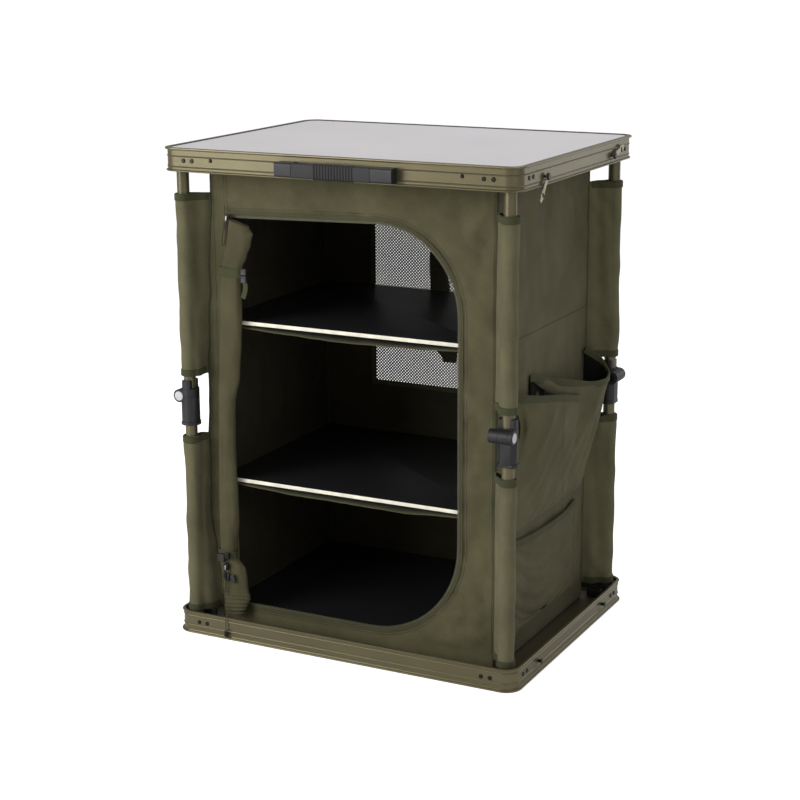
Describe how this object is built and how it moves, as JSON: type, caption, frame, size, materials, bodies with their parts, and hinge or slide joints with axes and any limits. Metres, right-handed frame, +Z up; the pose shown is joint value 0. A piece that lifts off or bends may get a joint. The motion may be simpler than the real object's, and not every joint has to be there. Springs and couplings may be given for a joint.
{
  "type": "collapsible storage box",
  "caption": "Folding camp storage cupboard: two shallow trays on hinged legs, a fabric cabinet with shelves between them, latch hooks and a carrying handle.",
  "frame": {"origin": "middle of the underside, on the plane that the box stands on, with the box open", "axes": "+X to the right, +Y to the back, +Z up; the doorway faces -Y"},
  "size_m": [0.6068, 0.481, 0.784],
  "materials": {
    "rim": "satin khaki-green powder coat",
    "tube": "satin khaki-green powder coat",
    "board": "light grey laminate",
    "base_board": "dark laminate",
    "shelf": "black satin laminate with pale edges",
    "black_plastic": "charcoal moulded plastic",
    "grey_cap": "light grey cap",
    "rubber": "black ribbed rubber",
    "cloth": "olive woven polyester",
    "mesh": "olive net",
    "fixing": "black",
    "steel": "bright zinc"
  },
  "bodies": {
    "base": {"bottom_rim": "rim", "bottom_panel": "base_board", "floor_board": "shelf", "bottom_corner_brackets": "black_plastic", "bottom_rivets": "fixing", "catch_studs": "fixing", "bottom_leg_pins": "steel", "front_panel": "cloth", "side_walls": "cloth", "back_wall": "cloth", "mesh_window": "mesh", "door_roll": "cloth", "door_ties": "cloth", "upper_pocket": "cloth", "lower_pocket": "cloth", "window_flap": "cloth", "leg_wings": "cloth", "shelf_slings": "cloth"},
    "top": {"top_rim": "rim", "top_board": "board", "top_corner_brackets": "black_plastic", "top_rivets": "fixing", "top_leg_pins": "steel", "top_screws": "fixing", "handle_brackets": "black_plastic"},
    "handle": {"handle_grip": "rubber"},
    "shelf_upper": {"shelf_upper": "shelf"},
    "shelf_lower": {"shelf_lower": "shelf"},
    "hook_front_left": {"hook_front_left": "steel"},
    "hook_front_right": {"hook_front_right": "steel"},
    "hook_back_left": {"hook_back_left": "steel"},
    "hook_back_right": {"hook_back_right": "steel"},
    "leg_lower_fl": {"lower_tube_fl": "tube", "sleeve_lower_fl": "cloth", "knuckle_lower_fl": "black_plastic", "knuckle_pin_fl": "grey_cap"},
    "leg_upper_fl": {"upper_tube_fl": "tube", "sleeve_upper_fl": "cloth", "knuckle_upper_fl": "black_plastic"},
    "leg_lower_fr": {"lower_tube_fr": "tube", "sleeve_lower_fr": "cloth", "knuckle_lower_fr": "black_plastic", "knuckle_pin_fr": "grey_cap"},
    "leg_upper_fr": {"upper_tube_fr": "tube", "sleeve_upper_fr": "cloth", "knuckle_upper_fr": "black_plastic"},
    "leg_lower_br": {"lower_tube_br": "tube", "sleeve_lower_br": "cloth", "knuckle_lower_br": "black_plastic", "knuckle_pin_br": "grey_cap"},
    "leg_upper_br": {"upper_tube_br": "tube", "sleeve_upper_br": "cloth", "knuckle_upper_br": "black_plastic"},
    "leg_lower_bl": {"lower_tube_bl": "tube", "sleeve_lower_bl": "cloth", "knuckle_lower_bl": "black_plastic", "knuckle_pin_bl": "grey_cap"},
    "leg_upper_bl": {"upper_tube_bl": "tube", "sleeve_upper_bl": "cloth", "knuckle_upper_bl": "black_plastic"}
  },
  "joints": [
    {"name": "fold", "type": "hinge", "parent": "base", "child": "leg_lower_bl", "pos_m": [-0.274, 0.207, 0.022], "axis": [1, 0, 0], "range_deg": [0, 89.62], "deforming": ["front_panel", "side_walls", "back_wall", "mesh_window", "door_roll", "door_ties", "upper_pocket", "lower_pocket", "window_flap", "leg_wings", "shelf_slings"]},
    {"name": "foot_fl", "type": "hinge", "parent": "base", "child": "leg_lower_fl", "pos_m": [-0.274, -0.207, 0.022], "axis": [0, 1, 0], "range_deg": [0, 89.62]},
    {"name": "foot_fr", "type": "hinge", "parent": "base", "child": "leg_lower_fr", "pos_m": [0.274, -0.207, 0.022], "axis": [-1, 0, 0], "range_deg": [0, 89.62]},
    {"name": "foot_br", "type": "hinge", "parent": "base", "child": "leg_lower_br", "pos_m": [0.274, 0.207, 0.022], "axis": [0, -1, 0], "range_deg": [0, 89.62]},
    {"name": "knee_bl", "type": "hinge", "parent": "leg_lower_bl", "child": "leg_upper_bl", "pos_m": [-0.274, 0.219, 0.392], "axis": [1, 0, 0], "range_deg": [-179.25, 0]},
    {"name": "knee_fl", "type": "hinge", "parent": "leg_lower_fl", "child": "leg_upper_fl", "pos_m": [-0.286, -0.207, 0.392], "axis": [0, 1, 0], "range_deg": [-179.25, 0]},
    {"name": "knee_fr", "type": "hinge", "parent": "leg_lower_fr", "child": "leg_upper_fr", "pos_m": [0.274, -0.219, 0.392], "axis": [-1, 0, 0], "range_deg": [-179.25, 0]},
    {"name": "knee_br", "type": "hinge", "parent": "leg_lower_br", "child": "leg_upper_br", "pos_m": [0.286, 0.207, 0.392], "axis": [0, -1, 0], "range_deg": [-179.25, 0]},
    {"name": "top_pivot", "type": "hinge", "parent": "leg_upper_bl", "child": "top", "pos_m": [-0.274, 0.207, 0.762], "axis": [1, 0, 0], "range_deg": [0, 89.62]},
    {"name": "shelf_upper_drop", "type": "slide", "parent": "top", "child": "shelf_upper", "axis": [0, 0, 1], "range_m": [0, 0.2484]},
    {"name": "shelf_lower_drop", "type": "slide", "parent": "base", "child": "shelf_lower", "axis": [0, 0, -1], "range_m": [0, 0.212]},
    {"name": "handle_swing", "type": "hinge", "parent": "top", "child": "handle", "pos_m": [0.0065, -0.2355, 0.7626], "axis": [-1, 0, 0], "range_deg": [0, 40]},
    {"name": "latch_front_left", "type": "hinge", "parent": "top", "child": "hook_front_left", "pos_m": [-0.29995, -0.135, 0.7605], "axis": [1, 0, 0], "range_deg": [-72, 38]},
    {"name": "latch_back_left", "type": "hinge", "parent": "top", "child": "hook_back_left", "pos_m": [-0.29995, 0.135, 0.7605], "axis": [1, 0, 0], "range_deg": [-105, 5]},
    {"name": "latch_front_right", "type": "hinge", "parent": "top", "child": "hook_front_right", "pos_m": [0.29995, -0.135, 0.7605], "axis": [1, 0, 0], "range_deg": [-72, 38]},
    {"name": "latch_back_right", "type": "hinge", "parent": "top", "child": "hook_back_right", "pos_m": [0.29995, 0.135, 0.7605], "axis": [1, 0, 0], "range_deg": [-105, 5]}
  ],
  "couplings": [
    {"joint": "foot_fl", "follows": "fold", "ratio": 1},
    {"joint": "foot_fr", "follows": "fold", "ratio": 1},
    {"joint": "foot_br", "follows": "fold", "ratio": 1},
    {"joint": "knee_bl", "follows": "fold", "ratio": -2},
    {"joint": "knee_fl", "follows": "fold", "ratio": -2},
    {"joint": "knee_fr", "follows": "fold", "ratio": -2},
    {"joint": "knee_br", "follows": "fold", "ratio": -2},
    {"joint": "top_pivot", "follows": "fold", "ratio": 1},
    {"joint": "shelf_upper_drop", "follows": "fold", "m_per_rad": 0.15874},
    {"joint": "shelf_lower_drop", "follows": "fold", "m_per_rad": 0.13547}
  ]
}
